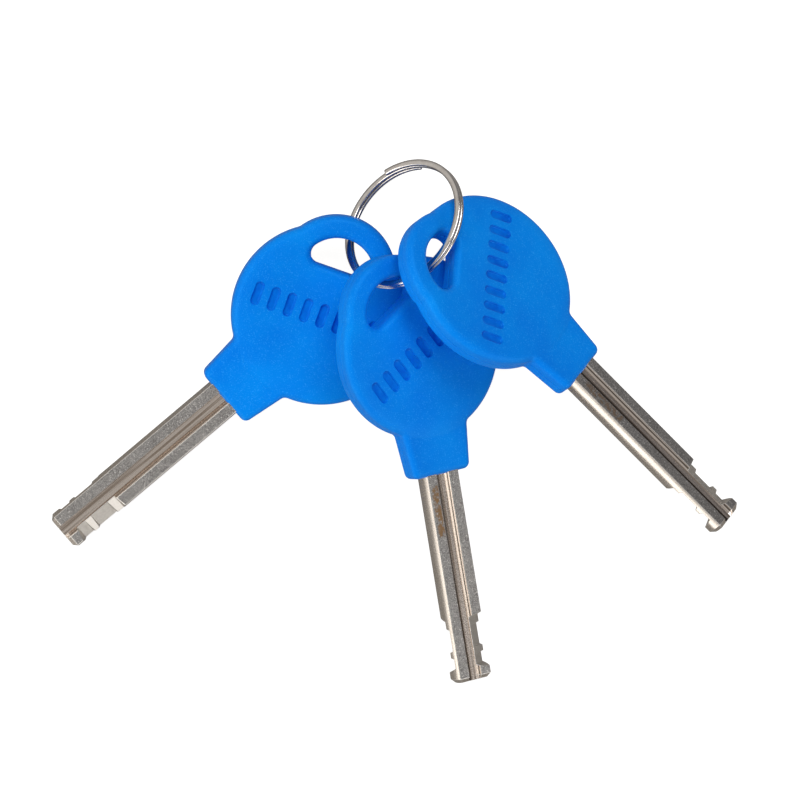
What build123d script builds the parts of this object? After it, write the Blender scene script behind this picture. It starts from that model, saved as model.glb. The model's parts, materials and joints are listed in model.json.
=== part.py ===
from build123d import *
import os
from math import asin, cos, hypot, pi, radians, sin, sqrt

# Three keys of a disc lock on a split ring, lying fanned out on a table.
# Each key is a steel blade with its bow moulded round the blade's tang.
# Millimetres, +Z up. The set rests on Z = 0, and the origin is under the middle of its box.

# Split ring: flattened wire wound a little over two turns
ring_diameter = 25.0        # outside
wire_width = 1.24           # across the ring's radius
wire_height = 0.78          # along the ring's axis
wire_corner = 0.3
coil_gap = 0.05             # between one coil and the next
ring_turns = 2.09
ring_start = 298.0          # ring angle of the wire's upper end
ring_tilt = 43.0            # of the ring's plane from the table
ring_bearing = 53.7         # of the ring's level diameter, from +X

# Bow: a round head, a lobe with the ring's hole in it, and a tapered neck
bow_thickness = 5.0
bow_edge_radius = 1.2
head_radius = 16.3
lobe_radius = 10.75
lobe_offset = 7.7           # from the head's centre
lobe_bearing = 120.0
notch_radius = 1.2          # where lobe and head meet, and where neck and head meet
neck_root_width = 13.9
neck_end_width = 11.9
neck_end_drop = 23.2        # from the head's centre
neck_corner_radius = 1.3
hole_radius = 6.7           # the hole's round side, about the lobe's centre
hole_flat_offset = 0.8      # the hole's flat side, outward of the lobe's centre
hole_corner_radius = 2.0

# Grip bars sunk in both faces of the bow, in a row beside the hole's flat side
bar_count = 9
bar_spacing = 3.1
bar_length = 4.3
bar_width = 1.5
bar_depth = 0.4

# Blade: a round bar with two flats, a groove in each flat, and slanted cuts near the tip
bar_diameter = 7.4
blade_thickness = 3.4
blade_length = 37.8         # outside the bow
groove_width = 2.6
groove_depth = 0.75
groove_slope_run = 0.55     # width of the groove's sloped side
cut_distance = 1.42         # of each cut's floor from the blade's axis
shallow_cut = 26.0          # turn of a cut's floor about the blade's axis
steep_cut = 38.0
tip_land = 2.7              # full section left at the tip
tip_cuts = [(steep_cut, 1.75), (shallow_cut, 1.5), (steep_cut, 3.8), (shallow_cut, 1.6)]
cut_flank = 20.0
tip_chamfer = 0.75

# Tang: the blade's root inside the bow
shoulder_depth = 2.0        # how far the blade's own section goes into the neck
tang_width = 9.0
tang_thickness = 2.2
tang_length = 13.0
tang_corner_radius = 1.5
tang_hole_radius = 1.7
tang_hole_inset = 3.6       # from the tang's end

# Where each key hangs on the ring: the ring angle of its hole, the bearing of its bow, and the
# place in its hole where the wire crosses, along the hole's flat side and outward of it
ring_seats = {
    "left": (205.2, -49.9, 1.9, 2.4),
    "middle": (149.5, 9.3, 3.0, 3.65),
    "right": (103.2, 44.95, -0.5, 3.3),
}

ring_radius = (ring_diameter - wire_width) / 2
coil_pitch = wire_height + coil_gap
coil_rise = coil_pitch * ring_turns
blade_radius = bar_diameter / 2
half_flat = blade_thickness / 2
tip_drop = neck_end_drop + blade_length
blade_root_drop = neck_end_drop - shoulder_depth
lobe_out = Vector(cos(radians(lobe_bearing)), sin(radians(lobe_bearing)))
lobe_along = Vector(lobe_out.Y, -lobe_out.X)
lobe_centre = lobe_out * lobe_offset
hole_flat_drop = lobe_offset + hole_flat_offset
same_place = 0.01           # two points nearer than this are the same corner
steepest_lean = 80.0        # a key never leans further on the wire
solver_steps = 50           # halvings, or repeats, when a key's rest is worked out

# The ring's plane, with its own X level, its own Y uphill and its own Z down into the table
ring_level = Vector(cos(radians(ring_bearing)), sin(radians(ring_bearing)), 0)
ring_down = Vector(
    sin(radians(ring_bearing)) * sin(radians(ring_tilt)),
    -cos(radians(ring_bearing)) * sin(radians(ring_tilt)),
    -cos(radians(ring_tilt)),
)
ring_height = (
    ring_diameter / 2 * sin(radians(ring_tilt))
    + (coil_rise + wire_height) / 2 * cos(radians(ring_tilt))
)
ring_plane = Plane(origin=(0, 0, ring_height), x_dir=ring_level, z_dir=ring_down)


def ring_point(angle):
    """The wire's middle at a ring angle."""
    spot = Vector(ring_radius * cos(radians(angle)), ring_radius * sin(radians(angle)), 0)
    return ring_plane.from_local_coords(spot)


def head_rest(lean, pitch):
    """Height of the head's centre over the table when its rim rests there."""
    steep = hypot(sin(lean) * cos(pitch), sin(pitch))
    flat = cos(lean) * cos(pitch)
    inner = head_radius - bow_edge_radius
    return inner * steep + (bow_thickness / 2 - bow_edge_radius) * flat + bow_edge_radius


def blade_rest(lean, pitch):
    """Height of the blade's axis over the table at the tip when the tip rests there."""
    corner = asin(half_flat / blade_radius)
    past_corner = max(0.0, pi / 2 - lean - corner)
    return blade_radius * cos(past_corner) * cos(pitch)


def pitch_for(lean):
    """Pitch that lays both the rim and the tip on the table."""
    pitch = 0.0
    for step in range(solver_steps):
        pitch = asin((head_rest(lean, pitch) - blade_rest(lean, pitch)) / tip_drop)
    return pitch


def key_plane(angle, bearing, along, out):
    """Plane of a key's bow: it leans on the wire until its rim and its tip touch the table."""
    spot = lobe_along * along + lobe_out * (hole_flat_drop + out)
    wire = ring_point(angle)
    low, high = 0.0, radians(steepest_lean)
    for step in range(solver_steps):
        lean = (low + high) / 2
        pitch = pitch_for(lean)
        spot_rise = -sin(lean) * cos(pitch) * spot.X + sin(pitch) * spot.Y
        if head_rest(lean, pitch) + spot_rise > wire.Z:
            high = lean
        else:
            low = lean
    across = Vector(cos(lean), sin(lean) * sin(pitch), -sin(lean) * cos(pitch))
    face = Vector(sin(lean), -cos(lean) * sin(pitch), cos(lean) * cos(pitch))
    across = across.rotate(Axis.Z, bearing)
    face = face.rotate(Axis.Z, bearing)
    tilted = Plane(origin=(0, 0, 0), x_dir=across, z_dir=face)
    centre = wire - tilted.from_local_coords(spot)
    return Plane(origin=centre, x_dir=across, z_dir=face)


# Split ring
with BuildPart() as coil:
    with BuildLine() as wire_path:
        Helix(pitch=coil_pitch, height=coil_rise, radius=ring_radius)
    wire_start = wire_path.line @ 0
    with BuildSketch(Plane(origin=wire_start, x_dir=(1, 0, 0), z_dir=wire_path.line % 0)):
        RectangleRounded(wire_width, wire_height, wire_corner)
    sweep(path=wire_path.line, is_frenet=True)

# Blade, in the key's own frame: X across, Y towards the bow, Z out of its face
with BuildPart() as blade_shape:
    with BuildSketch(Plane.XZ.offset(blade_root_drop)):
        Circle(blade_radius)
        Rectangle(bar_diameter, blade_thickness, mode=Mode.INTERSECT)
    extrude(amount=blade_length + shoulder_depth)
    chamfer(blade_shape.faces().sort_by(Axis.Y)[0].edges(), length=tip_chamfer)
    groove_floor = half_flat - groove_depth
    for turn in (0, 180):
        with BuildSketch(Plane.XZ.offset(blade_root_drop).rotated((0, 0, turn))):
            with BuildLine():
                Polyline(
                    (-groove_width / 2, bar_diameter),
                    (-groove_width / 2, groove_floor),
                    (groove_width / 2 - groove_slope_run, groove_floor),
                    (groove_width / 2, half_flat),
                    (groove_width / 2, bar_diameter),
                    close=True,
                )
            make_face()
        extrude(amount=blade_length + shoulder_depth, mode=Mode.SUBTRACT)
        cut_end = -tip_drop + tip_land
        for cut_angle, cut_length in tip_cuts:
            floor_normal = Vector(0, 0, 1).rotate(Axis.Y, cut_angle + turn)
            cut_middle = Vector(0, cut_end + cut_length / 2, 0) + floor_normal * cut_distance
            with BuildSketch(Plane(origin=cut_middle, x_dir=(0, 1, 0), z_dir=floor_normal)):
                Rectangle(cut_length, 2 * bar_diameter)
            extrude(amount=bar_diameter / 2, taper=-cut_flank, mode=Mode.SUBTRACT)
            cut_end += cut_length
    with BuildSketch(Plane.XY.offset(-tang_thickness / 2)):
        with Locations((0, -blade_root_drop + tang_length / 2)):
            RectangleRounded(tang_width, tang_length, tang_corner_radius)
        with Locations((0, -blade_root_drop + tang_length - tang_hole_inset)):
            Circle(tang_hole_radius, mode=Mode.SUBTRACT)
    extrude(amount=tang_thickness)

# Bow, in the same frame, moulded round the tang
with BuildPart() as bow_shape:
    with BuildSketch(Plane.XY.offset(-bow_thickness / 2)) as outline:
        Circle(head_radius)
        with Locations(lobe_centre):
            Circle(lobe_radius)
        root_drop = sqrt(head_radius**2 - (neck_root_width / 2) ** 2)
        neck_taper = (neck_root_width - neck_end_width) / 2 / (neck_end_drop - root_drop)
        neck_half_at_centre = neck_root_width / 2 + neck_taper * root_drop
        with BuildLine():
            Polyline(
                (-neck_half_at_centre, 0),
                (-neck_end_width / 2, -neck_end_drop),
                (neck_end_width / 2, -neck_end_drop),
                (neck_half_at_centre, 0),
                close=True,
            )
        make_face()
        # Every corner on the head's circle is a notch, apart from the circle's own seam at Y = 0
        on_head = [v for v in outline.vertices() if abs(hypot(v.X, v.Y) - head_radius) < same_place]
        fillet([v for v in on_head if abs(v.Y) > same_place], notch_radius)
        # The corners are picked again here, since a fillet makes new ones throughout the outline
        fillet(outline.vertices().sort_by(Axis.Y)[:2], neck_corner_radius)
    extrude(amount=bow_thickness)
    with BuildSketch(Plane.XY.offset(-bow_thickness / 2)) as hole:
        with Locations(lobe_centre):
            Circle(hole_radius)
        flat_middle = lobe_out * (hole_flat_drop + hole_radius)
        with Locations(Location(flat_middle, (0, 0, lobe_bearing))):
            Rectangle(2 * hole_radius, 2 * hole_radius, mode=Mode.INTERSECT)
        fillet(hole.vertices(), hole_corner_radius)
    extrude(amount=bow_thickness, mode=Mode.SUBTRACT)
    fillet(bow_shape.faces().filter_by(Axis.Z).edges(), bow_edge_radius)
    for side in (1, -1):
        with BuildSketch(Plane.XY.offset(side * bow_thickness / 2)):
            for place in range(bar_count):
                bar_middle = lobe_along * ((place - (bar_count - 1) / 2) * bar_spacing)
                with Locations(Location(bar_middle, (0, 0, lobe_bearing))):
                    SlotOverall(bar_length, bar_width)
        extrude(amount=-side * bar_depth, mode=Mode.SUBTRACT)
    add(blade_shape.part, mode=Mode.SUBTRACT)

turned_coil = Pos(0, 0, -coil_rise / 2) * Rot(0, 0, ring_start) * coil.part
pieces = {"split_ring": ring_plane.from_local_coords(turned_coil)}
for side, seat in ring_seats.items():
    seat_plane = key_plane(*seat)
    pieces[f"{side}_key_bow"] = seat_plane.from_local_coords(bow_shape.part)
    pieces[f"{side}_key_blade"] = seat_plane.from_local_coords(blade_shape.part)

# Everything is moved so that the origin lies under the middle of the set's box
box = Compound(children=list(pieces.values())).bounding_box()
to_origin = Pos(-box.center().X, -box.center().Y, 0)
print("ring centre", ring_plane.origin - Vector(box.center().X, box.center().Y), "ring axis", -ring_down)

os.makedirs("parts", exist_ok=True)
for name, piece in pieces.items():
    with BuildPart() as placed:
        add(to_origin * piece)
    placed.part.label = name
    export_step(placed.part, f"parts/{name}.step")
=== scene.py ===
import json
from math import acos, atan2, ceil, cos, degrees, hypot, pi, radians, sin, sqrt, tan

import bmesh
import bpy
from mathutils import Matrix, Vector
from mathutils.geometry import delaunay_2d_cdt


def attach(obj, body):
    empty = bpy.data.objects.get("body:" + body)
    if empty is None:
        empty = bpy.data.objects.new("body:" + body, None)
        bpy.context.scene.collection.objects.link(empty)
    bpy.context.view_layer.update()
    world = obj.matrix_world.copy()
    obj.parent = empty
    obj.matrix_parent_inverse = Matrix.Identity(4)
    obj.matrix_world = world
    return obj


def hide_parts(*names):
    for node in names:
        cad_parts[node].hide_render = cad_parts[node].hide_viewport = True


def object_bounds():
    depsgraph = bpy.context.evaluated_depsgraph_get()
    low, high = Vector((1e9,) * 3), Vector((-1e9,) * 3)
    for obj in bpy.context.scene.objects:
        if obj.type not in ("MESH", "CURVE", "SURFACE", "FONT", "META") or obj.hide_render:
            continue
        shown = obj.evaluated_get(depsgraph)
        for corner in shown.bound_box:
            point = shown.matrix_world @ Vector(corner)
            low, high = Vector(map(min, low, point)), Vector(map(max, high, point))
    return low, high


# Lock keys on a split ring. Shapes are drawn in millimetres in each key's own frame
# (X across, Y from the tip towards the bow, Z out of the face) and then set on the CAD keys.
mm = 0.001
sides = ("left", "middle", "right")
ownPlaces = "ownPlace"        # the attribute that holds a piece's own coordinates
samePoint = 1e-5              # outline points closer than this fall together
samePlane = 0.02              # a face this close to a surface lies on it
weldDistance = 0.002
noiseRange = (0.3, 0.7)       # where most of a noise's values lie
narrowRange = (0.35, 0.65)    # the same with harder edges

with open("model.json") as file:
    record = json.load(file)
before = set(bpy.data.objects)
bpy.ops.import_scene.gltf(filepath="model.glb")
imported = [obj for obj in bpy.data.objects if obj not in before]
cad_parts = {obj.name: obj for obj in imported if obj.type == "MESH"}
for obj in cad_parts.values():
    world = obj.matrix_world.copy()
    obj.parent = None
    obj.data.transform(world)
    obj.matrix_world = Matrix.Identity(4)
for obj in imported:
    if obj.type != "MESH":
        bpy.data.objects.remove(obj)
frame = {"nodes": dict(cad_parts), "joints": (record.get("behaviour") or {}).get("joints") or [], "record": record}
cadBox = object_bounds()
print("frame loaded:", ", ".join(sorted(frame["nodes"])))


def turned(angle, length=1.0):
    return Vector((cos(radians(angle)), sin(radians(angle)))) * length


def bearingOf(v):
    return degrees(atan2(v.y, v.x))


def arcPoints(centre, radius, start, end, spacing, hollow=False):
    # points with the direction that leads out of the material; hollow arcs curve round empty space
    steps = max(2, ceil(abs(radians(end - start)) * radius / spacing))
    out = -1 if hollow else 1
    points = []
    for i in range(steps + 1):
        direction = turned(start + (end - start) * i / steps)
        points.append((centre + direction * radius, direction * out))
    return points


def withStraights(points, spacing):
    # fills the straight stretches between arcs, and drops points that fall together
    filled = []
    for i, (p, n) in enumerate(points):
        q = points[(i + 1) % len(points)][0]
        gap = (q - p).length
        if gap < samePoint:
            continue
        filled.append((p, n))
        steps = ceil(gap / spacing) if gap > 1.5 * spacing else 1
        for k in range(1, steps):
            filled.append((p.lerp(q, k / steps), n))
    return filled


def inside(point, loop):
    # counts how often a line from the point crosses the loop
    x, y = point[0], point[1]
    hit = False
    for i, a in enumerate(loop):
        b = loop[i - 1]
        if (a[1] > y) != (b[1] > y) and x < (b[0] - a[0]) * (y - a[1]) / (b[1] - a[1]) + a[0]:
            hit = not hit
    return hit


def skinLoops(bm, loops, finish=0):
    # quads between neighbouring loops of the same length
    rings = [[bm.verts.new(p) for p in loop] for loop in loops]
    for low, high in zip(rings, rings[1:]):
        for i in range(len(low)):
            j = (i + 1) % len(low)
            bm.faces.new((low[i], low[j], high[j], high[i])).material_index = finish
    return rings


def finished(bm, name, sharpAngle):
    # welds, turns the faces outwards and scales to metres
    bmesh.ops.remove_doubles(bm, verts=bm.verts, dist=weldDistance)
    bmesh.ops.recalc_face_normals(bm, faces=bm.faces)
    bmesh.ops.scale(bm, vec=(mm, mm, mm), verts=bm.verts)
    mesh = bpy.data.meshes.new(name)
    bm.to_mesh(mesh)
    bm.free()
    mesh.shade_smooth()
    mesh.set_sharp_from_angle(angle=radians(sharpAngle))
    return mesh


def newMaterial(name, **surface):
    material = bpy.data.materials.new(name)
    material.use_nodes = True
    shader = material.node_tree.nodes["Principled BSDF"]
    for socket, value in surface.items():
        shader.inputs[socket.replace("_", " ")].default_value = value
    return material, material.node_tree, shader


def addNode(tree, kind, inputs=None, **settings):
    node = tree.nodes.new(kind)
    for name, value in settings.items():
        setattr(node, name, value)
    for socket, value in (inputs or {}).items():
        if isinstance(value, bpy.types.NodeSocket):
            tree.links.new(value, node.inputs[socket])
        else:
            node.inputs[socket].default_value = value
    return node


def noise(tree, at, size, detail=2.0, roughness=0.5):
    # size is the width of one patch, in millimetres
    inputs = {"Vector": at, "Scale": 1 / (size * mm), "Detail": detail, "Roughness": roughness}
    return addNode(tree, "ShaderNodeTexNoise", inputs).outputs["Fac"]


def spread(tree, value, low, high, toLow=0.0, toHigh=1.0):
    # low to high becomes toLow to toHigh, and stays there beyond
    inputs = {"Value": value, "From Min": low, "From Max": high, "To Min": toLow, "To Max": toHigh}
    return addNode(tree, "ShaderNodeMapRange", inputs).outputs["Result"]


def maths(tree, operation, a, b):
    node = addNode(tree, "ShaderNodeMath", {0: a, 1: b}, operation=operation)
    return node.outputs["Value"]


def blendColours(tree, factor, a, b):
    node = addNode(tree, "ShaderNodeMix", {"Factor": factor}, data_type="RGBA")
    for socket, value in ((6, a), (7, b)):
        if isinstance(value, bpy.types.NodeSocket):
            tree.links.new(value, node.inputs[socket])
        else:
            node.inputs[socket].default_value = (*value, 1.0)
    return node.outputs[2]


def bumpFrom(tree, height, depth, strength=1.0, after=None):
    # depth is in millimetres
    inputs = {"Height": height, "Distance": depth * mm, "Strength": strength}
    if after:
        inputs["Normal"] = after
    return addNode(tree, "ShaderNodeBump", inputs).outputs["Normal"]


def ownCoordinates(tree, shift=(0, 0, 0), stretch=(1, 1, 1)):
    # each piece carries its own coordinates, written by addPiece
    at = addNode(tree, "ShaderNodeAttribute", attribute_name=ownPlaces).outputs["Vector"]
    node = addNode(tree, "ShaderNodeMapping", {"Vector": at, "Location": shift, "Scale": stretch})
    return node.outputs["Vector"]


def between(tree, value, low, high, soft):
    # 1 between two places in millimetres, fading to 0 over the soft width
    rise = spread(tree, value, (low - soft) * mm, (low + soft) * mm)
    fall = spread(tree, value, (high - soft) * mm, (high + soft) * mm, 1.0, 0.0)
    return maths(tree, "MULTIPLY", rise, fall)


# the bow, moulded round the blade's tang; lengths in millimetres, bearings in degrees from X
bow = {
    "thickness": 5.0,
    "edgeRadius": 1.2,
    "headRadius": 16.3,
    "lobeRadius": 10.75,
    "lobeOffset": 7.7,
    "lobeBearing": 120,
    "notchRadius": 1.2,
    "neckRootWidth": 13.9,
    "neckEndWidth": 11.9,
    "neckEndDrop": 23.2,
    "neckCorner": 1.3,
    "holeRadius": 6.7,
    "holeFlat": 0.8,          # of the hole's flat side, outward of the lobe's centre
    "holeCorner": 2.0,
    "crownDrop": 0.38,        # the face falls this far towards its rim and stays there on the neck
    "crownWidth": 3.4,
    "seamDepth": 0.07,        # mould line round the middle of the rim
    "seamWidth": 0.16,
    "seamShoulder": 0.25,     # straight part of the rim above the mould line
    "roundSteps": 9,          # facets of the rim's rounding
    "barCount": 9,
    "barSpacing": 3.1,
    "barLength": 4.3,
    "barWidth": 1.5,
    "barDepth": 0.4,
    "barSteps": 12,           # facets of each round end of a bar
    "detail": 0.45,           # spacing of points along the outlines
    "faceDetail": 0.8,        # spacing of points on the faces
    "faceReach": 30.0,        # half of the square that those points fill before they are sorted out
    "rowHeight": 0.866,       # of one row of those points, as a share of their spacing
    "pointGap": 0.45,         # least gap to an outline, as a share of their spacing
    "foldBearings": (-112, -67, 2),   # where the head's rim crosses the neck: from, to, step
    "foldLevel": -12.0,       # the fold lies below this
    "foldBand": 0.6,          # kept free of face points on both sides of that fold
    "foldGap": 0.3,           # least gap from the fold's points to an outline
    "sharpAngle": 50,
}
# down a bar's soft wall to its floor: (how far outside the bar's edge, share of its depth)
barWall = ((0.14, 0.0), (0.07, 0.03), (0.01, 0.14), (-0.04, 0.35),
           (-0.08, 0.65), (-0.14, 0.86), (-0.24, 0.97), (-0.36, 1.0))
foldOffsets = (0.25, 0.0, -0.35)      # the fold's points, outward from the head's circle
lobeCentre = turned(bow["lobeBearing"], bow["lobeOffset"])


def bowOutline():
    head, lobe, notch = bow["headRadius"], bow["lobeRadius"], bow["notchRadius"]
    step = bow["detail"]
    centre = Vector((0, 0))
    rootDrop = sqrt(head ** 2 - (bow["neckRootWidth"] / 2) ** 2)
    taper = (bow["neckRootWidth"] - bow["neckEndWidth"]) / 2 / (bow["neckEndDrop"] - rootDrop)
    neckSide = Vector((1, -taper)).normalized()            # out of the neck's right side
    neckUp = Vector((taper, 1)).normalized()
    neckEnd = Vector((bow["neckEndWidth"] / 2, -bow["neckEndDrop"]))
    # middle of the rounding where the neck's right side meets the head
    start = neckEnd + neckSide * notch
    along = start.dot(neckUp)
    climb = -along - sqrt(along ** 2 - start.length_squared + (head + notch) ** 2)
    rootRight = start + neckUp * climb
    rootLeft = Vector((-rootRight.x, rootRight.y))
    corner = bow["neckCorner"]
    cornerRight = Vector((neckEnd.x + taper * corner - corner * hypot(1, taper), neckEnd.y + corner))
    cornerLeft = Vector((-cornerRight.x, cornerRight.y))
    sideAngle = bearingOf(neckSide)
    # middles of the roundings where the lobe meets the head
    reach, offset = head + notch, bow["lobeOffset"]
    swing = degrees(acos((reach ** 2 + offset ** 2 - (lobe + notch) ** 2) / (2 * reach * offset)))
    notchRight = turned(bow["lobeBearing"] - swing, reach)
    notchLeft = turned(bow["lobeBearing"] + swing, reach)
    points = arcPoints(cornerRight, corner, -90, sideAngle, step / 2)
    points += arcPoints(rootRight, notch, 180 + sideAngle, bearingOf(-rootRight), step / 2, hollow=True)
    points += arcPoints(centre, head, bearingOf(rootRight), bearingOf(notchRight), step)
    points += arcPoints(notchRight, notch, bearingOf(notchRight) + 180,
                        bearingOf(lobeCentre - notchRight) + 360, step / 2, hollow=True)
    points += arcPoints(lobeCentre, lobe, bearingOf(notchRight - lobeCentre),
                        bearingOf(notchLeft - lobeCentre), step)
    points += arcPoints(notchLeft, notch, bearingOf(lobeCentre - notchLeft), bearingOf(notchLeft) - 180,
                        step / 2, hollow=True)
    points += arcPoints(centre, head, bearingOf(notchLeft), bearingOf(rootLeft) + 360, step)
    points += arcPoints(rootLeft, notch, bearingOf(-rootLeft), -sideAngle, step / 2, hollow=True)
    points += arcPoints(cornerLeft, corner, 180 - sideAngle, 270, step / 2)
    return withStraights(points, step)


def holeOutline():
    # the round side, two rounded corners and the flat side, in the lobe's own directions
    step = bow["detail"]
    corner, radius = bow["holeCorner"], bow["holeRadius"]
    outward = bow["holeFlat"] + corner
    aside = sqrt((radius - corner) ** 2 - outward ** 2)
    cornerAngle = degrees(atan2(outward, aside))
    points = arcPoints(Vector((0, 0)), radius, cornerAngle, 180 - cornerAngle, step)
    points += arcPoints(Vector((-aside, outward)), corner, 180 - cornerAngle, 270, step / 2)
    points += arcPoints(Vector((aside, outward)), corner, -90, cornerAngle, step / 2)
    spin = Matrix.Rotation(radians(bow["lobeBearing"] - 90), 2)
    return [(lobeCentre + spin @ p, spin @ n) for p, n in withStraights(points, step)]


def barMiddles():
    along = turned(bow["lobeBearing"] - 90)
    middle = (bow["barCount"] - 1) / 2
    return [along * ((i - middle) * bow["barSpacing"]) for i in range(bow["barCount"])]


def barLoop(middle, reach):
    # a slot's outline at a distance from its middle line, which points out towards the hole
    out = turned(bow["lobeBearing"]) * (bow["barLength"] - bow["barWidth"]) / 2
    steps = bow["barSteps"]
    loop = []
    for end, start in ((out, bow["lobeBearing"] - 90), (-out, bow["lobeBearing"] + 90)):
        loop += [middle + end + turned(start + 180 * i / steps, reach) for i in range(steps + 1)]
    return loop


def crowned(x, y, z):
    # the faces fall a little towards the rim of the head and lobe
    inward = max(bow["headRadius"] - hypot(x, y),
                 bow["lobeRadius"] - hypot(x - lobeCentre.x, y - lobeCentre.y))
    share = min(max(inward / bow["crownWidth"], 0.0), 1.0)
    half = bow["thickness"] / 2
    return z * (1 - bow["crownDrop"] * (1 - share) ** 2 / half)


def rimProfile():
    # (distance in from the outline, height) from the mould line up to the face
    half, radius = bow["thickness"] / 2, bow["edgeRadius"]
    seam, depth = bow["seamWidth"] / 2, bow["seamDepth"]
    profile = [(depth, 0.0), (depth * 0.6, seam * 0.5), (0.0, seam), (0.0, seam + bow["seamShoulder"])]
    for i in range(bow["roundSteps"] + 1):
        angle = pi / 2 * i / bow["roundSteps"]
        profile.append((radius * (1 - cos(angle)), half - radius + radius * sin(angle)))
    return profile


def bowFace(outer, hole, bars):
    # the flat field between the rim, the hole and the sunk bars, as triangles
    loops = [outer, hole, *bars]
    points = [Vector(p) for loop in loops for p in loop]
    edges = []
    first = 0
    for loop in loops:
        count = len(loop)
        edges += [(first + i, first + (i + 1) % count) for i in range(count)]
        first += count
    outlines = points[:first]

    def onFace(spot):
        return inside(spot, outer) and not any(inside(spot, loop) for loop in (hole, *bars))

    # a line of points along the head's rim where it crosses the neck keeps the fold there crisp
    head, step = bow["headRadius"], bow["faceDetail"]
    for bearing in range(*bow["foldBearings"]):
        for offset in foldOffsets:
            spot = turned(bearing, head + offset)
            if min((spot - p).length for p in outlines) > bow["foldGap"] and inside(spot, outer):
                points.append(spot)
    # the rest is an even triangular grid
    reach = int(bow["faceReach"] / step)
    leastGap = (bow["pointGap"] * step) ** 2
    for row in range(-reach, reach):
        for column in range(-reach, reach):
            spot = Vector(((column + 0.5 * (row % 2)) * step, row * step * bow["rowHeight"]))
            if abs(spot.length - head) < bow["foldBand"] and spot.y < bow["foldLevel"]:
                continue
            if onFace(spot) and min((spot - p).length_squared for p in outlines) > leastGap:
                points.append(spot)
    made, _, triangles, *_ = delaunay_2d_cdt(points, edges, [], 0, samePoint / 10)
    middles = [sum((made[i] for i in triangle), Vector((0, 0))) / 3 for triangle in triangles]
    return made, [triangle for triangle, middle in zip(triangles, middles) if onFace(middle)]


def bowMesh():
    # the rims of the outline and the hole, then both faces with their sunk bars
    bm = bmesh.new()
    half, radius = bow["thickness"] / 2, bow["edgeRadius"]
    outline, hole = bowOutline(), holeOutline()
    profile = rimProfile()
    heights = [(-1, d, z) for d, z in reversed(profile)] + [(1, d, z) for d, z in profile[1:]]
    for points, way in ((outline, -1), (hole, 1)):
        loops = []
        for sign, d, z in heights:
            loop = [p + n * way * d for p, n in points]
            loops.append([(p.x, p.y, crowned(p.x, p.y, sign * z)) for p in loop])
        skinLoops(bm, loops)
    faceOuter = [p - n * radius for p, n in outline]
    faceHole = [p + n * radius for p, n in hole]
    wall = [(bow["barWidth"] / 2 + past, share) for past, share in barWall]
    bars = [barLoop(middle, wall[0][0]) for middle in barMiddles()]
    made, triangles = bowFace(faceOuter, faceHole, bars)
    for sign in (1, -1):
        verts = [bm.verts.new((p.x, p.y, crowned(p.x, p.y, sign * half))) for p in made]
        for triangle in triangles:
            bm.faces.new([verts[i] for i in triangle])
        for middle in barMiddles():
            loops = []
            for reach, share in wall:
                loop = barLoop(middle, reach)
                z = sign * (half - share * bow["barDepth"])
                loops.append([(p.x, p.y, crowned(p.x, p.y, z)) for p in loop])
            floor = skinLoops(bm, loops, finish=1)[-1]
            bm.faces.new(floor).material_index = 1
    loose = [v for v in bm.verts if not v.link_faces]
    bmesh.ops.delete(bm, geom=loose, context="VERTS")
    return finished(bm, "bowMoulding", bow["sharpAngle"])


plastic = {
    "blue": (0.001, 0.195, 0.80),
    "paleBlue": (0.001, 0.25, 0.87),
    # pale blue of painted glints, the sparkle of the mould's grain
    "paintedGlintBlue": (0.04, 0.42, 1.0),
    # darker blue painted into the sunk bars as their shade
    "shadedBarBlue": (0.001, 0.115, 0.66),
    "sheen": (0.06, 0.50, 1.0),       # tint of the highlights
    "ior": 1.46,
    "cloudWidth": 9.0,        # of the slow drift between the two blues
    "glintWidth": 0.2,
    "glintRange": (0.58, 0.72),
    "glintStrength": 0.45,
    "grain": 0.24,            # width of one grain of the mould's spark finish
    "grainDepth": 0.018,
    "roughness": (0.30, 0.48),
    "waveWidth": 5.0,         # of the slight shrinkage waves in the faces
    "waveDepth": 0.05,
    "polishedCloudWidth": 2.0,
    "polishedRoughness": (0.16, 0.26),
}


def bluePlastic():
    # satin, with the fine grain of a spark-eroded mould, whose sparkle is painted in as pale glint specks
    material, tree, shader = newMaterial("bluePlastic", IOR=plastic["ior"])
    shader.inputs["Specular Tint"].default_value = (*plastic["sheen"], 1.0)
    at = ownCoordinates(tree)
    cloud = noise(tree, at, plastic["cloudWidth"], detail=3.0)
    grain = noise(tree, at, plastic["grain"], roughness=0.6)
    # pale specks painted in as glints of the grain's sparkle
    paintedGlints = spread(tree, noise(tree, at, plastic["glintWidth"], detail=1.0), *plastic["glintRange"])
    paintedGlints = maths(tree, "MULTIPLY", paintedGlints, plastic["glintStrength"])
    colour = blendColours(tree, spread(tree, cloud, *noiseRange), plastic["blue"], plastic["paleBlue"])
    colour = blendColours(tree, paintedGlints, colour, plastic["paintedGlintBlue"])
    tree.links.new(colour, shader.inputs["Base Color"])
    tree.links.new(spread(tree, grain, *noiseRange, *plastic["roughness"]), shader.inputs["Roughness"])
    swell = noise(tree, at, plastic["waveWidth"], detail=1.0)
    waves = bumpFrom(tree, swell, plastic["waveDepth"], strength=0.35)
    tree.links.new(bumpFrom(tree, grain, plastic["grainDepth"], 0.8, waves), shader.inputs["Normal"])
    return material


def polishedShadedPlastic():
    # the sunk bars come from polished spots of the mould, so they are smoother; their darker blue is painted shade
    material, tree, shader = newMaterial("polishedShadedPlastic", IOR=plastic["ior"])
    shader.inputs["Specular Tint"].default_value = (*plastic["sheen"], 1.0)
    cloud = noise(tree, ownCoordinates(tree), plastic["polishedCloudWidth"])
    # painted shade: the sunk bars range from a darker blue to the plain one
    colour = blendColours(tree, spread(tree, cloud, *noiseRange), plastic["shadedBarBlue"], plastic["blue"])
    tree.links.new(colour, shader.inputs["Base Color"])
    roughness = spread(tree, cloud, *noiseRange, *plastic["polishedRoughness"])
    tree.links.new(roughness, shader.inputs["Roughness"])
    return material


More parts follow.
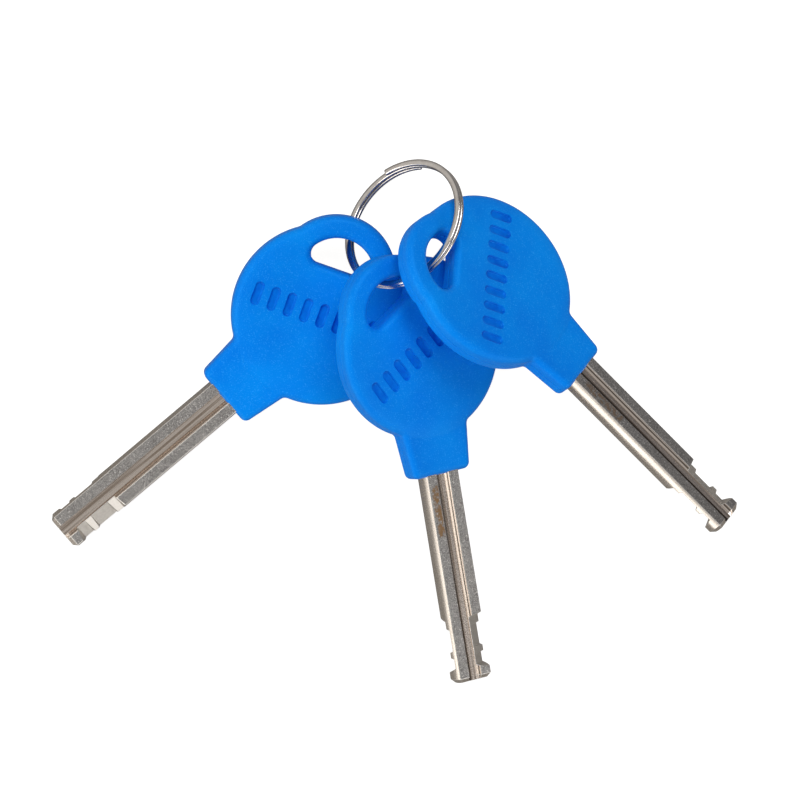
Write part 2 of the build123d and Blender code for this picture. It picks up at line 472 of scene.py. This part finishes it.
# the blade: a round bar with two flats, a groove in each flat and slanted cuts near the tip
blade = {
    "diameter": 7.4,
    "thickness": 3.4,
    "length": 37.8,           # outside the bow
    "sunk": 6.0,              # how far it goes on inside the bow
    "sideSteps": 10,          # facets of each rounded side
    "grooveWidth": 2.6,
    "grooveDepth": 0.75,
    "grooveSlope": 0.7,
    "relief": 0.15,           # width and depth of the undercut at the foot of the groove's wall
    "cutDistance": 1.42,      # from the blade's axis to a cut's floor
    "shallow": 26,            # angles of the cuts' floors
    "steep": 38,
    "tipLand": 2.7,           # uncut length at the tip
    "cutFlank": 20,           # how far the ends of a cut lean outwards
    "tipChamfer": 0.75,
    "edgeWidth": 0.10,        # of the burnished edges
    "edgeAngle": 20,          # edges sharper than this are burnished
    "flatAngle": 1,           # faces that turn less than this become one
    "smoothAngle": 12,        # facets of the rounded sides that turn less than this look round
    "sideBand": 0.15,         # those facets lie within this of the full radius
    "weld": 0.004,
}
# (angle, length) of each cut, from the tip towards the bow
cuts = ((blade["steep"], 1.75), (blade["shallow"], 1.5), (blade["steep"], 3.8), (blade["shallow"], 1.6))
tipDrop = bow["neckEndDrop"] + blade["length"]
sintered, ground, drawn, burnishedHighlight = range(4)        # material slots of a blade


def bladeSection():
    # half of the section, up the right-hand side and along the upper flat, then the same turned round
    radius, half = blade["diameter"] / 2, blade["thickness"] / 2
    corner = degrees(atan2(half, sqrt(radius ** 2 - half ** 2)))
    steps = blade["sideSteps"]
    side = [turned(corner * (i / steps * 2 - 1), radius) for i in range(steps + 1)]
    width, floor, relief = blade["grooveWidth"] / 2, half - blade["grooveDepth"], blade["relief"]
    upper = [*side, Vector((width, half)), Vector((width - blade["grooveSlope"], floor)),
             Vector((relief - width, floor)), Vector((relief - width, floor - relief)),
             Vector((-width, floor - relief)), Vector((-width, half))]
    return upper + [-p for p in upper]


def chamferedEnd(p):
    # a point of the section, drawn in by the tip's chamfer
    radius = blade["diameter"] / 2 - blade["tipChamfer"]
    half = blade["thickness"] / 2 - blade["tipChamfer"]
    z = min(max(p.y, -half), half)
    x = min(max(p.x, -sqrt(radius ** 2 - z ** 2)), sqrt(radius ** 2 - z ** 2))
    return Vector((x, z))


def bladeBar():
    bm = bmesh.new()
    section = bladeSection()
    stations = [(-bow["neckEndDrop"] + blade["sunk"], section),
                (-tipDrop + blade["tipChamfer"], section),
                (-tipDrop, [chamferedEnd(p) for p in section])]
    rings = skinLoops(bm, [[(p.x, y, p.y) for p in points] for y, points in stations])
    bm.faces.new(rings[0])
    bm.faces.new(rings[-1])
    return finished(bm, "bladeBar", 30)


def cutterMesh(angle, middle, length):
    # a wedge whose floor lies across the blade at the cut's angle, widening outwards
    bm = bmesh.new()
    height, wide = blade["diameter"] / 2, blade["diameter"]
    flare = height * tan(radians(blade["cutFlank"]))
    out = Vector((sin(radians(angle)), 0, cos(radians(angle))))
    across = Vector((cos(radians(angle)), 0, -sin(radians(angle))))
    loops = []
    for lift, grow in ((0, 0), (height, flare)):
        base = out * (blade["cutDistance"] + lift)
        reach = length / 2 + grow
        loops.append([base + across * wide * a + Vector((0, middle + reach * b, 0))
                      for a, b in ((-1, -1), (1, -1), (1, 1), (-1, 1))])
    low, high = skinLoops(bm, loops)
    bm.faces.new(low)
    bm.faces.new(high)
    return finished(bm, "bladeCutter", 30)


def finishOf(face):
    # which finish a face of the blade has, from where it lies
    _, y, z = face.calc_center_median() / mm
    half, tip = blade["thickness"] / 2, -tipDrop + blade["tipChamfer"]
    if abs(face.normal.z) > 0.99 and abs(z) > half - samePlane:
        return sintered
    if y < tip or max(abs(v.co.x) for v in face.verts) < (blade["grooveWidth"] / 2 + samePlane) * mm:
        return drawn
    if min(hypot(v.co.x, v.co.z) for v in face.verts) > (blade["diameter"] / 2 - samePlane) * mm:
        return drawn
    return ground


def cutAway(mesh):
    # takes the slanted cuts out of both flats
    body = bpy.data.objects.new("bladeBlank", mesh)
    bpy.context.scene.collection.objects.link(body)
    tools = []
    for turn in (0, 180):
        end = -tipDrop + blade["tipLand"]
        for angle, length in cuts:
            tool = bpy.data.objects.new("cutter", cutterMesh(angle + turn, end + length / 2, length))
            bpy.context.scene.collection.objects.link(tool)
            tools.append(tool)
            end += length
    for tool in tools:
        modifier = body.modifiers.new("cut", "BOOLEAN")
        modifier.operation = "DIFFERENCE"
        modifier.solver = "EXACT"
        modifier.object = tool
    bpy.context.view_layer.update()
    shape = bpy.data.meshes.new_from_object(body.evaluated_get(bpy.context.evaluated_depsgraph_get()))
    for leftover in [body, *tools]:
        bpy.data.objects.remove(leftover)
    return shape


def bladeMesh():
    shape = cutAway(bladeBar())
    bm = bmesh.new()
    bm.from_mesh(shape)
    bmesh.ops.remove_doubles(bm, verts=bm.verts, dist=blade["weld"] * mm)
    bmesh.ops.dissolve_limit(bm, angle_limit=radians(blade["flatAngle"]), verts=bm.verts, edges=bm.edges)
    bm.normal_update()
    for face in bm.faces:
        face.material_index = finishOf(face)
    # every outer edge is broken a little
    sharp = radians(blade["edgeAngle"])
    edges = [e for e in bm.edges if e.is_manifold and e.is_convex and e.calc_face_angle() > sharp]
    # the bevels take the burnished finish, whose paleness is partly a painted highlight
    bmesh.ops.bevel(bm, geom=edges, offset=blade["edgeWidth"] * mm, offset_type="WIDTH", segments=1,
                    profile=0.5, affect="EDGES", clamp_overlap=False, material=burnishedHighlight)
    # only the rounded sides are smooth, so every other facet stays crisp
    for edge in bm.edges:
        rounded = all(hypot(v.co.x, v.co.z) > (blade["diameter"] / 2 - blade["sideBand"]) * mm
                      for face in edge.link_faces for v in face.verts)
        edge.smooth = rounded and edge.calc_face_angle(pi) < radians(blade["smoothAngle"])
    bm.to_mesh(shape)
    bm.free()
    shape.name = "bladeSteel"
    for polygon in shape.polygons:
        polygon.use_smooth = True
    return shape


steel = {
    "dark": (0.15, 0.14, 0.135),
    "light": (0.66, 0.63, 0.60),
    "fleck": (0.95, 0.92, 0.88),
    "ground": (0.70, 0.66, 0.61),
    "paleGround": (0.80, 0.76, 0.71),
    "drawn": (0.60, 0.54, 0.48),
    "paleDrawn": (0.74, 0.68, 0.62),
    "grooved": (0.44, 0.35, 0.28),
    "paleGrooved": (0.86, 0.75, 0.66),
    # paler edges: partly wear, partly a painted highlight
    "burnishedHighlight": (0.95, 0.93, 0.90),
    "stain": (0.34, 0.19, 0.08),
    # painted shade for the foot of the groove's wall, also used for a darker line near its lip
    "grooveShadeAndLine": (0.035, 0.022, 0.015),
    "grain": 0.16,
    "grainDepth": 0.02,
    "grainRange": (0.34, 0.66),
    "cloudWidth": 3.0,
    "cloudShare": 0.15,
    "fleckWidth": 0.2,
    "fleckRange": (0.62, 0.72),
    "sinteredRoughness": (0.50, 0.36),
    "stainFrom": 1.8,         # from the bow along the blade
    "stainTo": 11.0,
    "stainLeft": -2.85,       # across the blade
    "stainRight": -1.5,
    "stainBlot": 0.75,
    "stainRange": (0.40, 0.54),
    "cutLineWidth": 0.12,
    "cutLineDepth": 0.006,
    "groundCloudWidth": 0.5,
    "groundRoughness": (0.28, 0.42),
    "streakWidth": 0.2,
    "streakDepth": 0.008,
    "mottleWidth": 0.3,
    "mottleDepth": 0.006,
    "drawnRoughness": (0.20, 0.32),
    "lineWidth": 0.22,        # of the lines along the groove
    "lineRange": (0.38, 0.55),
    "grooveMargin": 0.13,     # the groove's colours reach this far past it
    # where a darker line near the groove's lip lies, and how wide it is
    "lipLine": 0.35,         # from the groove's lip down its slope
    "lipLineWidth": 0.15,
    "wearWidth": 0.5,
    "burnishedRoughness": (0.36, 0.24),
}
stainStrengths = {"left": 0.0, "middle": 0.9, "right": 0.6}
# painted shade along the foot of the groove's wall: its width on each key, then how dark it and the line near the
# lip are
paintedShadeWidths = {"left": 0.22, "middle": 0.75, "right": 0.95}      # along the foot of the groove's wall
shadeAndLineStrengths = {"left": 0.35, "middle": 0.8, "right": 0.85}


def sinteredSteel(side):
    # the flats are left as sintered: a fine grey grain with light flecks, browned in one patch
    material, tree, shader = newMaterial(side + "SinteredSteel", Metallic=1.0)
    at = ownCoordinates(tree, shift=(0.01 * sides.index(side), 0, 0))
    place = addNode(tree, "ShaderNodeSeparateXYZ", {0: ownCoordinates(tree)})
    x, y, z = (place.outputs[i] for i in range(3))
    grain = noise(tree, at, steel["grain"], roughness=0.7)
    cloud = noise(tree, at, steel["cloudWidth"])
    both = maths(tree, "ADD", maths(tree, "MULTIPLY", grain, 1 - steel["cloudShare"]),
                 maths(tree, "MULTIPLY", cloud, steel["cloudShare"]))
    colour = blendColours(tree, spread(tree, both, *steel["grainRange"]), steel["dark"], steel["light"])
    flecks = spread(tree, noise(tree, at, steel["fleckWidth"], detail=1.0), *steel["fleckRange"])
    colour = blendColours(tree, flecks, colour, steel["fleck"])
    # the patch lies on the upper flat only, beside the groove
    start = -bow["neckEndDrop"] - steel["stainFrom"]
    end = -bow["neckEndDrop"] - steel["stainTo"]
    patch = between(tree, y, end, start, 0.25)
    patch = maths(tree, "MULTIPLY", patch, between(tree, x, steel["stainLeft"], steel["stainRight"], 0.15))
    half = blade["thickness"] / 2
    patch = maths(tree, "MULTIPLY", patch, spread(tree, z, (half - 0.2) * mm, (half - 0.1) * mm))
    blots = spread(tree, noise(tree, at, steel["stainBlot"], roughness=0.7), *steel["stainRange"])
    patch = maths(tree, "MULTIPLY", patch, maths(tree, "MULTIPLY", blots, stainStrengths[side]))
    colour = blendColours(tree, patch, colour, steel["stain"])
    tree.links.new(colour, shader.inputs["Base Color"])
    roughness = spread(tree, both, *narrowRange, *steel["sinteredRoughness"])
    tree.links.new(roughness, shader.inputs["Roughness"])
    tree.links.new(bumpFrom(tree, grain, steel["grainDepth"], 0.7), shader.inputs["Normal"])
    return material


def groundSteel():
    # the cuts, with fine lines along them
    material, tree, shader = newMaterial("groundSteel", Metallic=1.0)
    lines = noise(tree, ownCoordinates(tree, stretch=(1, 0.12, 1)), steel["cutLineWidth"])
    cloud = noise(tree, ownCoordinates(tree), steel["groundCloudWidth"], detail=3.0)
    colour = blendColours(tree, spread(tree, cloud, *noiseRange), steel["ground"], steel["paleGround"])
    tree.links.new(colour, shader.inputs["Base Color"])
    tree.links.new(spread(tree, cloud, *noiseRange, *steel["groundRoughness"]), shader.inputs["Roughness"])
    tree.links.new(bumpFrom(tree, lines, steel["cutLineDepth"], 0.4), shader.inputs["Normal"])
    return material


def drawnSteel(side):
    # the rounded sides and the groove, with faint streaks along them
    material, tree, shader = newMaterial(side + "DrawnSteel", Metallic=1.0)
    streaks = noise(tree, ownCoordinates(tree, stretch=(1, 0.03, 1)), steel["streakWidth"], 3.0, 0.6)
    mottle = noise(tree, ownCoordinates(tree), steel["mottleWidth"], 3.0, 0.6)
    colour = blendColours(tree, spread(tree, streaks, *narrowRange), steel["drawn"], steel["paleDrawn"])
    # the groove is browner, with lines along it; its darker brown partly stands for a painted reflection of its
    # wall. Painted shade darkens the foot of its wall, and a darker line runs near its lip
    lines = noise(tree, ownCoordinates(tree, stretch=(1, 0.01, 1)), steel["lineWidth"], detail=1.0)
    groove = blendColours(tree, spread(tree, lines, *steel["lineRange"]),
                          steel["grooved"], steel["paleGrooved"])
    across = addNode(tree, "ShaderNodeSeparateXYZ", {0: ownCoordinates(tree)}).outputs[0]
    half = blade["grooveWidth"] / 2
    edge = half + steel["grooveMargin"]
    foot, lip = paintedShadeWidths[side] - half, half - steel["lipLine"]
    # painted shade at the foot of the groove's wall, wider and darker on the keys that lean more, plus a darker
    # line near the lip
    shadeAndLipLine = maths(tree, "ADD", between(tree, across, -edge, foot, 0.05),
                 between(tree, across, lip, lip + steel["lipLineWidth"], 0.04))
    groove = blendColours(tree, maths(tree, "MULTIPLY", shadeAndLipLine, shadeAndLineStrengths[side]), groove, steel["grooveShadeAndLine"])
    colour = blendColours(tree, between(tree, across, -edge, edge, 0.1), colour, groove)
    tree.links.new(colour, shader.inputs["Base Color"])
    tree.links.new(spread(tree, mottle, *noiseRange, *steel["drawnRoughness"]), shader.inputs["Roughness"])
    waves = bumpFrom(tree, streaks, steel["streakDepth"], 0.4)
    tree.links.new(bumpFrom(tree, mottle, steel["mottleDepth"], 0.5, waves), shader.inputs["Normal"])
    return material


def burnishedHighlitSteel():
    # edges rubbed bright by the lock, and made paler still as a painted highlight along them
    material, tree, shader = newMaterial("burnishedHighlitSteel", Metallic=1.0)
    wear = noise(tree, ownCoordinates(tree), steel["wearWidth"], 3.0, 0.6)
    # paler towards the burnished colour: partly wear, partly a painted highlight on the edges
    colour = blendColours(tree, spread(tree, wear, *noiseRange), steel["paleGround"], steel["burnishedHighlight"])
    tree.links.new(colour, shader.inputs["Base Color"])
    tree.links.new(spread(tree, wear, *noiseRange, *steel["burnishedRoughness"]), shader.inputs["Roughness"])
    return material


# the split ring's flattened wire, wound a little over two turns
ring = {
    "diameter": 25.0,
    "wireWidth": 1.24,
    "wireHeight": 0.78,
    "wireCorner": 0.33,
    "crown": 0.03,            # the wide faces bulge by this much
    "coilGap": 0.05,
    "turns": 2.09,
    "start": 298.0,           # bearing of the wire's first end
    "stepDegrees": 1.0,
    "cornerSteps": 6,
    "endClear": 1.5,          # degrees taken by each rounded end
    "sharpAngle": 40,
    "nickel": (0.74, 0.71, 0.68),
    "warmNickel": (0.64, 0.60, 0.57),
    "streakWidth": 0.09,
    "cloudWidth": 1.6,
    "roughness": (0.10, 0.24),
}
# the wire's sheared ends are slightly rounded: (degrees from the end, share of the section)
wireEnds = ((0.0, 0.8), (0.25, 0.93), (0.7, 1.0))


def wireSection():
    # points round the flattened wire, (outwards from the ring's centre, along its axis)
    wide, high, corner = ring["wireWidth"] / 2, ring["wireHeight"] / 2, ring["wireCorner"]
    points = []
    for right, up, start in ((1, 1, 0), (-1, 1, 90), (-1, -1, 180), (1, -1, 270)):
        middle = Vector((right * (wide - corner), up * (high - ring["crown"] - corner)))
        points += [middle + turned(start + 90 * i / ring["cornerSteps"], corner)
                   for i in range(ring["cornerSteps"] + 1)]
        if start in (0, 180):
            points.append(Vector((0, up * high)))
    return points


def ringMesh():
    centreRadius = (ring["diameter"] - ring["wireWidth"]) / 2
    rise = (ring["wireHeight"] + ring["coilGap"]) * ring["turns"]
    total, clear = ring["turns"] * 360, ring["endClear"]
    steps = int(total / ring["stepDegrees"])
    stations = [*wireEnds]
    stations += [(clear + (total - 2 * clear) * i / steps, 1.0) for i in range(steps + 1)]
    stations += [(total - angle, share) for angle, share in reversed(wireEnds)]
    section = wireSection()
    bm = bmesh.new()
    loops = []
    for angle, share in stations:
        out, height = turned(ring["start"] + angle), rise * (angle / total - 0.5)
        loops.append([(*(out * (centreRadius + p.x * share)), height + p.y * share) for p in section])
    rings = skinLoops(bm, loops)
    bm.faces.new(rings[0])
    bm.faces.new(rings[-1])
    return finished(bm, "ringWire", ring["sharpAngle"])


def nickel():
    # polished, with faint lines that run along the wire
    material, tree, shader = newMaterial("polishedNickel", Metallic=1.0)
    at = ownCoordinates(tree)
    place = addNode(tree, "ShaderNodeSeparateXYZ", {0: at})
    x, y, z = (place.outputs[i] for i in range(3))
    squares = maths(tree, "ADD", maths(tree, "MULTIPLY", x, x), maths(tree, "MULTIPLY", y, y))
    reach = addNode(tree, "ShaderNodeMath", {0: squares}, operation="SQRT").outputs[0]
    across = addNode(tree, "ShaderNodeCombineXYZ", {0: reach, 1: z}).outputs[0]
    streaks = noise(tree, across, ring["streakWidth"], roughness=0.6)
    cloud = noise(tree, at, ring["cloudWidth"], detail=3.0)
    colour = blendColours(tree, spread(tree, cloud, *narrowRange), ring["nickel"], ring["warmNickel"])
    tree.links.new(colour, shader.inputs["Base Color"])
    tree.links.new(spread(tree, streaks, *narrowRange, *ring["roughness"]), shader.inputs["Roughness"])
    return material


def faceNormal(node):
    # the direction of the bow's upper face: the one that most of the CAD bow's area looks along
    areas = {}
    for polygon in frame["nodes"][node].data.polygons:
        if polygon.normal.z > 0:
            key = tuple(round(c, 2) for c in polygon.normal)
            total, direction = areas.get(key, (0.0, Vector()))
            areas[key] = (total + polygon.area, direction + polygon.normal * polygon.area)
    return max(areas.values(), key=lambda entry: entry[0])[1].normalized()


def keyFrame(side):
    # a key's own frame: its blade's axis is the mount's, and its face is the bow's
    mount = next(m for m in frame["record"]["mounts"] if m["name"] == side + "_blade")
    up = -Vector(mount["axis"]).normalized()
    out = faceNormal(side + "_key_bow")
    across = up.cross(out).normalized()
    out = across.cross(up)
    place = Matrix((across, up, out)).transposed().to_4x4()
    place.translation = Vector(mount["pos_m"]) + up * tipDrop * mm
    return place


def ringFrame():
    # about the ring's axis, which every joint turns on
    joint = frame["joints"][0]
    up = Vector(joint["axis"]).normalized()
    level = up.cross(Vector((0, 0, 1))).normalized()
    place = Matrix((level, -up.cross(level), -up)).transposed().to_4x4()
    place.translation = Vector(joint["pos_m"])
    return place


def addPiece(name, mesh, place, body, node, materials):
    # the mesh keeps its own coordinates for its materials, and moves into the shared frame
    own = mesh.attributes.new(ownPlaces, "FLOAT_VECTOR", "POINT")
    own.data.foreach_set("vector", [number for vertex in mesh.vertices for number in vertex.co])
    mesh.transform(place)
    piece = bpy.data.objects.new(name, mesh)
    bpy.context.scene.collection.objects.link(piece)
    for material in materials:
        mesh.materials.append(material)
    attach(piece, body)
    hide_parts(node)


bowFinishes = [bluePlastic(), polishedShadedPlastic()]
cutSteel, edgeSteel = groundSteel(), burnishedHighlitSteel()
bowShape = bowMesh()
print("bow moulding:", len(bowShape.polygons), "faces")
bladeShape = bladeMesh()
print("blade:", len(bladeShape.polygons), "faces")

for side in sides:
    place, key = keyFrame(side), side + "_key"
    bladeFinishes = [sinteredSteel(side), cutSteel, drawnSteel(side), edgeSteel]
    addPiece(side + "BowMoulding", bowShape.copy(), place, key, key + "_bow", bowFinishes)
    addPiece(side + "BladeSteel", bladeShape.copy(), place, key, key + "_blade", bladeFinishes)
    print(side, "key placed")

addPiece("ringWire", ringMesh(), ringFrame(), "ring", "split_ring", [nickel()])
print("ring placed")


studio = {
    "viewWidth": 143.37,      # width of the view at the keys' height
    "fromRing": (-0.75, -31.45),      # the middle of the view, from the ring's centre
    "cameraHeight": 2000.0,
    "keysHeight": 10.0,
    "sensor": 36.0,
    "clipEnd": 10.0,          # metres
    "floorSize": 3.0,         # metres
    "floor": (0.5, 0.5, 0.5),
    "floorGlow": 0.85,
    "floorRoughness": 0.7,
    "table": (0.62, 0.60, 0.57),
    "leftWall": (0.66, 0.64, 0.61),
    "leftWallFade": (-0.75, -0.15),   # across the room, 1 at its right-hand end
    "ceiling": (0.38, 0.38, 0.38),
    "darkWall": (0.14, 0.14, 0.15),
    "darkWallFade": (0.15, 0.9),      # towards the dark wall, 1 at that wall
    "darkBearing": 55,
}
# name: (bearing, height in degrees, distance and sizes in metres, brightness, colour)
lamps = {
    "leftSoftbox": (185, 48, 0.9, 0.5, 0.45, 3.0, (1.0, 0.97, 0.92)),
    "lowLeftSoftbox": (228, 17, 0.9, 0.9, 0.45, 1.6, (1.0, 0.98, 0.94)),
    "lowRightSoftbox": (308, 16, 0.9, 0.8, 0.4, 1.1, (1.0, 0.98, 0.95)),
    "frontSoftbox": (333, 30, 0.9, 0.3, 0.3, 3.6, (1.0, 1.0, 1.0)),
    "highSoftbox": (75, 52, 1.0, 0.6, 0.6, 4.0, (1.0, 1.0, 1.0)),
}


def aimed(spot, target):
    place = (target - spot).to_track_quat("-Z", "Y").to_matrix().to_4x4()
    place.translation = spot
    return place


def addCamera():
    # straight above, far away, so that the view has next to no perspective
    scene = bpy.context.scene
    ringCentre = ringFrame().translation
    middle = ringCentre + Vector((studio["fromRing"][0] * mm, studio["fromRing"][1] * mm, 0))
    camera = bpy.data.cameras.new("camera")
    camera.sensor_width = studio["sensor"]
    camera.lens = studio["sensor"] * (studio["cameraHeight"] - studio["keysHeight"]) / studio["viewWidth"]
    camera.clip_end = studio["clipEnd"]
    cameraObject = bpy.data.objects.new("camera", camera)
    cameraObject.location = (middle.x, middle.y, studio["cameraHeight"] * mm)
    scene.collection.objects.link(cameraObject)
    scene.camera = cameraObject


def addLamp(name, bearing, lift, distance, width, height, brightness, colour):
    light = bpy.data.lights.new(name, "AREA")
    light.shape = "RECTANGLE"
    light.size, light.size_y = width, height
    light.energy = brightness * pi * width * height
    light.color = colour
    level = turned(bearing, cos(radians(lift)))
    spot = Vector((level.x, level.y, sin(radians(lift)))) * distance
    lamp = bpy.data.objects.new(name, light)
    lamp.matrix_world = aimed(spot, Vector((0, 0, 0)))
    bpy.context.scene.collection.objects.link(lamp)


def addRoom():
    # a pale room, brightest to the left and dark on one side
    world = bpy.data.worlds.new("studioWorld")
    world.use_nodes = True
    tree = world.node_tree
    place = addNode(tree, "ShaderNodeTexCoord").outputs["Generated"]
    toward = addNode(tree, "ShaderNodeSeparateXYZ", {0: place}).outputs
    dark = turned(studio["darkBearing"])
    towardDark = maths(tree, "ADD", maths(tree, "MULTIPLY", toward[0], dark.x),
                       maths(tree, "MULTIPLY", toward[1], dark.y))
    room = blendColours(tree, spread(tree, toward[0], *studio["leftWallFade"]),
                        studio["leftWall"], studio["ceiling"])
    room = blendColours(tree, spread(tree, towardDark, *studio["darkWallFade"]), room, studio["darkWall"])
    tree.links.new(room, tree.nodes["Background"].inputs["Color"])
    bpy.context.scene.world = world


def addFloor(name, colour, glow):
    bm = bmesh.new()
    bmesh.ops.create_grid(bm, x_segments=1, y_segments=1, size=studio["floorSize"] / 2)
    mesh = bpy.data.meshes.new(name)
    bm.to_mesh(mesh)
    bm.free()
    floor = bpy.data.objects.new(name, mesh)
    floor.location.z = cadBox[0].z
    bpy.context.scene.collection.objects.link(floor)
    material, _, shader = newMaterial(name, Roughness=studio["floorRoughness"], Emission_Strength=glow)
    shader.inputs["Base Color"].default_value = (*colour, 1.0)
    shader.inputs["Emission Color"].default_value = (1.0, 1.0, 1.0, 1.0)
    mesh.materials.append(material)
    return floor


addCamera()
for name, settings in lamps.items():
    addLamp(name, *settings)
addRoom()
# the plain floor that shows, and the table that throws light back up between the keys
floor = addFloor("plainFloor", studio["floor"], studio["floorGlow"])
floor.visible_diffuse = False
floor.visible_glossy = False
table = addFloor("table", studio["table"], 0.0)
table.visible_camera = False
table.visible_shadow = False
bpy.context.scene.view_settings.view_transform = "Standard"
print("studio ready")
